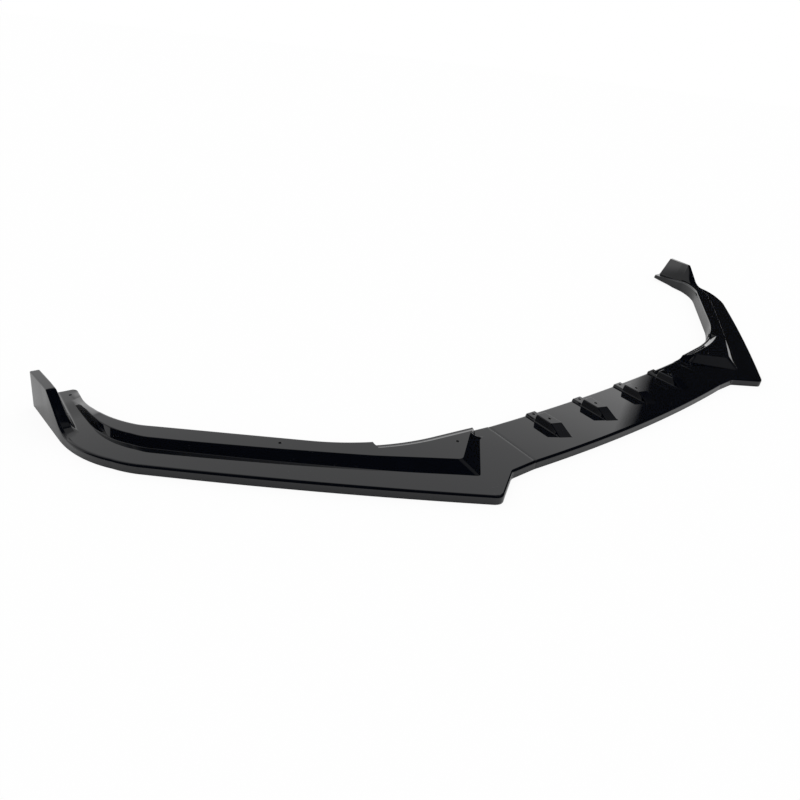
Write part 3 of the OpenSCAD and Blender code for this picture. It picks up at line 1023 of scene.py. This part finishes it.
    def build(self, middle: float) -> bpy.types.Object:
        """Makes the centre section.

        Args:
            middle: Y of the middle of the lip.

        Returns:
            The finished object.
        """
        outer, inner = self.skin(0.0), self.skin(WALL)
        parts = MeshParts()
        parts.shell(outer, inner, end_wall=True)
        for side in Side:
            self.tongue(parts, side.value)
        obj = parts.build("centre_shell", middle, False)
        places = []
        for x in self.pedestal_places:
            rear = float(self.bowed(np.array(x), SEAM_DEPTH, self.rear_bow))
            crown = rear - self.pedestal_tab_length - self.crown_hole
            places.append((x, rear - self.tab_hole, TOP + self.pedestal_tab))
            places.append((x, crown, TOP + self.pedestal_height))
        ScrewHoles().cut(obj, places, middle, False)
        return obj


class Socket(Enum):
    """Kinds of socket on a shader node group."""

    NUMBER = "NodeSocketFloat"
    VECTOR = "NodeSocketVector"


Link = bpy.types.NodeSocket


@dataclass
class Wiring:
    """Short calls that add nodes to a tree and join them."""

    tree: bpy.types.NodeTree

    def add(self, kind: str, label: str = "", **settings: object) -> bpy.types.Node:
        """Adds a node and sets its properties.

        Args:
            kind: the node's type name.
            label: a plain name for it.
            settings: its properties by name.

        Returns:
            The node.
        """
        node = self.tree.nodes.new(kind)
        node.label = label
        for key, value in settings.items():
            setattr(node, key, value)
        return node

    def join(self, value: "Link | float | tuple[float, ...]", target: Link) -> None:
        """Feeds a socket from another one, or sets its value."""
        if isinstance(value, bpy.types.NodeSocket):
            self.tree.links.new(value, target)
        else:
            target.default_value = value

    def fill(self, node: bpy.types.Node, values: "dict[str, Link | float]") -> bpy.types.Node:
        """Feeds a node's inputs by their names, and gives the node back."""
        for name, value in values.items():
            self.join(value, node.inputs[name])
        return node

    def sum(self, operation: str, a: "Link | float", b: "Link | float", cut: bool = False) -> Link:
        """A Math node's result for two values."""
        node = self.add("ShaderNodeMath", operation=operation, use_clamp=cut)
        self.join(a, node.inputs[0])
        self.join(b, node.inputs[1])
        return node.outputs[0]

    def ramp(self, value: Link, lo: float, hi: float, to_lo: "Link | float" = 0.0,
             to_hi: "Link | float" = 1.0) -> Link:
        """A value spread from lo to hi onto to_lo to to_hi, cut at both ends."""
        values = {"Value": value, "From Min": lo, "From Max": hi, "To Min": to_lo, "To Max": to_hi}
        node = self.fill(self.add("ShaderNodeMapRange", clamp=True), values)
        return node.outputs["Result"]

    def noise(self, at: Link, scale: "Link | float", detail: float, rough: float = 0.5) -> Link:
        """The value of a noise texture."""
        values = {"Vector": at, "Scale": scale, "Detail": detail, "Roughness": rough}
        node = self.fill(self.add("ShaderNodeTexNoise", noise_dimensions="3D"), values)
        return node.outputs["Fac"]

    def blend(self, share: "Link | float", a: "Link | tuple", b: "Link | tuple") -> Link:
        """A colour between a and b."""
        node = self.add("ShaderNodeMix", data_type="RGBA", blend_type="MIX")
        self.fill(node, {"Factor": share, "A": a, "B": b})
        return next(o for o in node.outputs if o.type == "RGBA")

    def glow(self, strength: "Link | float") -> Link:
        """Light of a given strength."""
        node = self.fill(self.add("ShaderNodeEmission"), {"Strength": strength})
        return node.outputs["Emission"]

    def choose(self, share: Link, a: Link, b: Link) -> Link:
        """A shader between a and b."""
        node = self.add("ShaderNodeMixShader")
        for value, target in zip((share, a, b), node.inputs):
            self.join(value, target)
        return node.outputs["Shader"]

    def surface(self, shader: Link, kind: str = "ShaderNodeOutputMaterial") -> None:
        """Ends the tree with a shader."""
        self.fill(self.add(kind), {"Surface": shader})


def blank_tree(owner: bpy.types.ID) -> Wiring:
    """The cleared node tree of a material or a world."""
    owner.use_nodes = True
    owner.node_tree.nodes.clear()
    return Wiring(owner.node_tree)


class EffectGroups:
    """The shader node groups that the finishes share, each built once."""

    def __init__(self) -> None:
        """Builds the groups."""
        self.ripple = self._ripple()
        self.haze = self._haze()
        self.dust = self._dust()

    @staticmethod
    def _group(name: str, numbers: dict[str, float], result: str
               ) -> tuple[bpy.types.NodeTree, Wiring, bpy.types.NodeOutputs, Link]:
        """Starts a node group with named sockets: a place and some numbers in, one number out.

        Args:
            name: name of the group.
            numbers: names and first values of the numbers that it takes.
            result: name of the number that it gives.

        Returns:
            The tree, its wiring, what it is given and the socket for its result.
        """
        tree = bpy.data.node_groups.new(name, "ShaderNodeTree")
        tree.interface.new_socket("Place", in_out="INPUT", socket_type=Socket.VECTOR.value)
        number = Socket.NUMBER.value
        for title, value in numbers.items():
            socket = tree.interface.new_socket(title, in_out="INPUT", socket_type=number)
            socket.default_value = value
        tree.interface.new_socket(result, in_out="OUTPUT", socket_type=number)
        w = Wiring(tree)
        return tree, w, w.add("NodeGroupInput").outputs, w.add("NodeGroupOutput").inputs[result]

    def _ripple(self) -> bpy.types.NodeTree:
        """Height of the slow waves and the fine skin of a moulded surface."""
        numbers = {"Wave Scale": 9.0, "Wave Share": 0.8, "Skin Scale": 320.0, "Skin Share": 0.03}
        tree, w, given, height = self._group("moulded_ripple", numbers, "Height")
        wave = w.noise(given["Place"], given["Wave Scale"], 1.0)
        skin = w.noise(given["Place"], given["Skin Scale"], 2.0)
        w.join(w.sum("ADD", w.sum("MULTIPLY", wave, given["Wave Share"]),
                     w.sum("MULTIPLY", skin, given["Skin Share"])), height)
        return tree

    def _haze(self) -> bpy.types.NodeTree:
        """Roughness that drifts between two values, with soft patches left by handling."""
        numbers = {"Patch Scale": 14.0, "Clean": 0.03, "Hazed": 0.12}
        tree, w, given, rough = self._group("handling_haze", numbers, "Roughness")
        patch = w.noise(given["Place"], given["Patch Scale"], 5.0, 0.6)
        mask = w.ramp(patch, 0.48, 0.78)
        w.join(w.ramp(mask, 0.0, 1.0, given["Clean"], given["Hazed"]), rough)
        return tree

    def _dust(self) -> bpy.types.NodeTree:
        """A mask of sparse specks of dust, each a fraction of a millimetre across."""
        numbers = {"Speck Scale": 260.0, "Speck Size": 0.09, "Amount": 0.5}
        tree, w, given, mask = self._group("fine_dust", numbers, "Mask")
        cells = w.add("ShaderNodeTexVoronoi", voronoi_dimensions="3D", feature="F1")
        w.fill(cells, {"Vector": given["Place"], "Scale": given["Speck Scale"]})
        near = w.sum("LESS_THAN", cells.outputs["Distance"], given["Speck Size"])
        spread = w.ramp(w.noise(given["Place"], 22.0, 2.0), 0.5, 0.75)
        w.join(w.sum("MULTIPLY", w.sum("MULTIPLY", near, spread), given["Amount"]), mask)
        return tree


@dataclass(frozen=True)
class GlossPlastic:
    """Gloss black moulded plastic: mirror-like outside, duller on the hidden skin."""

    colour: tuple[float, float, float] = (0.0008, 0.0012, 0.0026)
    back_colour: tuple[float, float, float] = (0.009, 0.009, 0.0095)
    clean: float = 0.02
    hazed: float = 0.06
    back_roughness: float = 0.42
    dust_colour: tuple[float, float, float] = (0.16, 0.155, 0.145)
    dust_roughness: float = 0.3
    lighter: float = 1.25
    ripple_height: float = 0.00035
    ior: float = 1.56
    specular: float = 0.5

    def material(self, groups: EffectGroups) -> bpy.types.Material:
        """Builds the material.

        Args:
            groups: the shared node groups.

        Returns:
            The material.
        """
        made = bpy.data.materials.new("gloss_black_plastic")
        w = blank_tree(made)
        place = w.add("ShaderNodeTexCoord").outputs["Object"]
        back = w.add("ShaderNodeAttribute", "hidden skin", attribute_type="GEOMETRY",
                     attribute_name="back_skin").outputs["Fac"]
        haze, dust, ripple = (
            w.fill(w.add("ShaderNodeGroup", tree.name, node_tree=tree), {"Place": place})
            for tree in (groups.haze, groups.dust, groups.ripple)
        )
        w.fill(haze, {"Clean": self.clean, "Hazed": self.hazed})

        tone = w.ramp(w.noise(place, 35.0, 4.0, 0.6), 0.35, 0.7)
        light = tuple(self.lighter * c for c in self.colour)
        base = w.blend(tone, (*self.colour, 1.0), (*light, 1.0))
        base = w.blend(back, base, (*self.back_colour, 1.0))
        base = w.blend(dust.outputs["Mask"], base, (*self.dust_colour, 1.0))
        rough = w.ramp(back, 0.0, 1.0, haze.outputs["Roughness"], self.back_roughness)
        dusty = w.sum("MULTIPLY", dust.outputs["Mask"], self.dust_roughness)
        bump = w.fill(w.add("ShaderNodeBump"), {
            "Strength": 1.0, "Distance": self.ripple_height, "Height": ripple.outputs["Height"],
        })
        shader = w.fill(w.add("ShaderNodeBsdfPrincipled"), {
            "Base Color": base, "Roughness": w.sum("ADD", rough, dusty, cut=True),
            "IOR": self.ior, "Specular IOR Level": self.specular,
            "Normal": bump.outputs["Normal"],
        })
        w.surface(shader.outputs["BSDF"])
        return made


@dataclass(frozen=True)
class TentPanels:
    """White panels round the rear of a tent, dark elsewhere, by direction in degrees.

    Azimuth goes from +Y toward +X. The white reaches from far_edge to an edge whose azimuth
    depends on the elevation. It is brightest near the floor and loses the share of each fade,
    given as drop, start and run in elevation; beyond dim_from it is dimmer. High at the front
    left of the car the dark is a dim grey patch.
    """

    edge_elevations: tuple[float, ...] = (0.0, 30.0, 40.0, 90.0)
    edge_azimuths: tuple[float, ...] = (64.9, 64.9, 69.0, 85.0)
    edge_blur: float = 1.5
    far_edge: float = -74.0
    far_blur: float = 6.0
    white: float = 1.4
    fades: tuple[tuple[float, float, float], ...] = (
        (0.6, 18.0, 18.0), (0.4, 50.0, 10.0), (0.4, 66.0, 14.0),
    )
    dim_from: float = -42.0
    dim_run: float = 12.0
    dim_share: float = 0.6
    patch: float = 0.15
    patch_elevation: tuple[float, float] = (46.0, 12.0)
    patch_azimuths: tuple[float, float, float, float] = (80.0, 30.0, 170.0, 15.0)

    def light(self, azimuth: Array, elevation: Array) -> Array:
        """Brightness of the tent by direction.

        Args:
            azimuth: degrees from +Y toward +X.
            elevation: degrees above the floor.

        Returns:
            The brightness, where 1 is white.
        """
        right = np.interp(elevation, self.edge_elevations, self.edge_azimuths)
        across = smooth((right - azimuth) / self.edge_blur + 0.5)
        across = across * smooth((azimuth - self.far_edge) / self.far_blur + 0.5)
        level = self.white
        for drop, start, run in self.fades:
            level = level - drop * smooth((elevation - start) / run)
        dimmer = smooth((self.dim_from - azimuth) / self.dim_run)
        level = level * (1.0 - self.dim_share * dimmer)
        start, run, end, end_run = self.patch_azimuths
        turned = smooth((azimuth - start) / run) * smooth((end - azimuth) / end_run)
        low, rise = self.patch_elevation
        front = self.patch * smooth((elevation - low) / rise) * turned
        return across * level + (1.0 - across) * front


@dataclass
class Studio:
    """The white studio: floor, surroundings and the panels that the gloss mirrors."""

    floor_size: float = 80.0
    floor_drop: float = 0.0005
    floor_grey: float = 0.66
    floor_glow: float = 1.04
    glow_seen: float = 0.88
    glow_mirrored: float = 0.12
    tent_radius: float = 8.0
    tent_floor: float = 0.014
    sensor: float = 36.0
    lens: float = 26.996
    eye: tuple[float, float, float] = (-0.9466, -0.6888, 0.5430)
    azimuth: float = -0.695355
    elevation: float = 0.527363
    roll: float = 0.121257

    def camera(self) -> None:
        """Places the camera at the photograph's viewing angle, with its slight roll."""
        az, el, roll = self.azimuth, self.elevation, self.roll
        back = Vector((math.sin(az) * math.cos(el), -math.cos(az) * math.cos(el), math.sin(el)))
        right = (-back).cross(Vector((0.0, 0.0, 1.0))).normalized()
        up = right.cross(-back)
        r = right * math.cos(roll) + up * math.sin(roll)
        u = -right * math.sin(roll) + up * math.cos(roll)
        data = bpy.data.cameras.new("camera")
        data.sensor_width, data.lens = self.sensor, self.lens
        data.clip_start, data.clip_end = 0.01, 200.0
        obj = put("camera", data)
        turn = Matrix((r, u, back)).transposed().to_4x4()
        obj.matrix_world = Matrix.Translation(Vector(self.eye)) @ turn
        bpy.context.scene.camera = obj

    def world(self) -> None:
        """White surroundings at a plain level of soft light."""
        world = bpy.data.worlds.new("studio")
        bpy.context.scene.world = world
        w = blank_tree(world)
        shade = w.add("ShaderNodeBackground")
        w.fill(shade, {"Color": (1.0, 1.0, 1.0, 1.0), "Strength": 1.0})
        w.surface(shade.outputs["Background"], "ShaderNodeOutputWorld")

    def floor(self) -> None:
        """A white floor that keeps a faint shadow and can't be seen from below."""
        half = self.floor_size / 2
        mesh = bpy.data.meshes.new("studio_floor")
        corners = [(-half, -half), (half, -half), (half, half), (-half, half)]
        mesh.from_pydata([(x, y, -self.floor_drop) for x, y in corners], [], [(0, 1, 2, 3)])
        made = bpy.data.materials.new("white_floor")
        w = blank_tree(made)
        path = w.add("ShaderNodeLightPath").outputs
        seen = w.sum("ADD", path["Is Camera Ray"], path["Is Transmission Ray"], cut=True)
        mirrored = w.sum("MULTIPLY", path["Is Glossy Ray"], self.glow_mirrored)
        share = w.sum("ADD", w.sum("MULTIPLY", seen, self.glow_seen), mirrored, cut=True)
        grey = (self.floor_grey, self.floor_grey, self.floor_grey, 1.0)
        matt = w.fill(w.add("ShaderNodeBsdfDiffuse"), {"Color": grey}).outputs["BSDF"]
        lit = w.choose(share, matt, w.glow(self.floor_glow))
        away = w.add("ShaderNodeNewGeometry").outputs["Backfacing"]
        under = w.sum("MULTIPLY", away, path["Is Camera Ray"])
        clear = w.add("ShaderNodeBsdfTransparent").outputs["BSDF"]
        w.surface(w.choose(under, lit, clear))
        mesh.materials.append(made)
        put("studio_floor", mesh)

    def tent(self) -> None:
        """A dome of white and dark panels round the lip, seen only in the gloss.

        Azimuth runs along its rows and elevation up its columns, a degree apart, and each point
        carries the brightness of its direction.
        """
        azimuth, elevation = np.linspace(-180.0, 180.0, 361), np.linspace(-1.0, 90.0, 92)
        a, e = np.meshgrid(azimuth, elevation, indexing="ij")
        level = TentPanels().light(a, e)
        a, e = np.radians(a), np.radians(e)
        away = np.stack([np.sin(a) * np.cos(e), np.cos(a) * np.cos(e), np.sin(e)], axis=-1)
        points, quads = self.tent_radius * away, grid_quads(np.arange(a.size).reshape(a.shape))
        mesh = bpy.data.meshes.new("studio_tent")
        mesh.from_pydata(points.reshape(-1, 3).tolist(), [], quads.tolist())
        point_layer(mesh, "brightness", level.reshape(-1))
        obj = put("studio_tent", mesh)
        obj.visible_camera = obj.visible_diffuse = obj.visible_shadow = False
        obj.visible_transmission = False
        made = bpy.data.materials.new("tent_panels")
        w = blank_tree(made)
        level = w.add("ShaderNodeAttribute", attribute_type="GEOMETRY",
                      attribute_name="brightness").outputs["Fac"]
        w.surface(w.glow(w.ramp(level, 0.0, 2.0, self.tent_floor, 2.0 + self.tent_floor)))
        mesh.materials.append(made)

    def build(self) -> None:
        """Sets up the whole studio."""
        bpy.context.scene.view_settings.view_transform = "Standard"
        self.camera()
        self.world()
        self.floor()
        self.tent()


def dress(obj: bpy.types.Object, finish: bpy.types.Material, node: str) -> None:
    """Gives a section its finish and says which node of the model it stands for.

    Args:
        obj: the section.
        finish: its material.
        node: name of the node.
    """
    obj.data.materials.clear()
    obj.data.materials.append(finish)
    obj.data.set_sharp_from_angle(angle=math.radians(SHARP_ANGLE))
    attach(obj, "root")
    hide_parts(node)
    LOG.info("%s stands for %s: %d faces", obj.name, node, len(obj.data.polygons))


def main() -> None:
    """Builds the sections in order, then the studio."""
    logging.basicConfig(level=logging.INFO, format="%(name)s: %(message)s")
    Studio().build()
    finish = GlossPlastic().material(EffectGroups())
    side = SideSection()
    t, _ = side.places()
    middle = float(side.front(t)[:, 1].min() + side.rear_end[1]) / 2
    LOG.info("middle of the lip at %.3f", middle)
    dress(CentreSection().build(middle), finish, "centre_section")
    for hand, node in ((Side.LEFT, "left_side_section"), (Side.RIGHT, "right_side_section")):
        dress(side.build(hand, middle), finish, node)


if __name__ == "__main__":
    main()
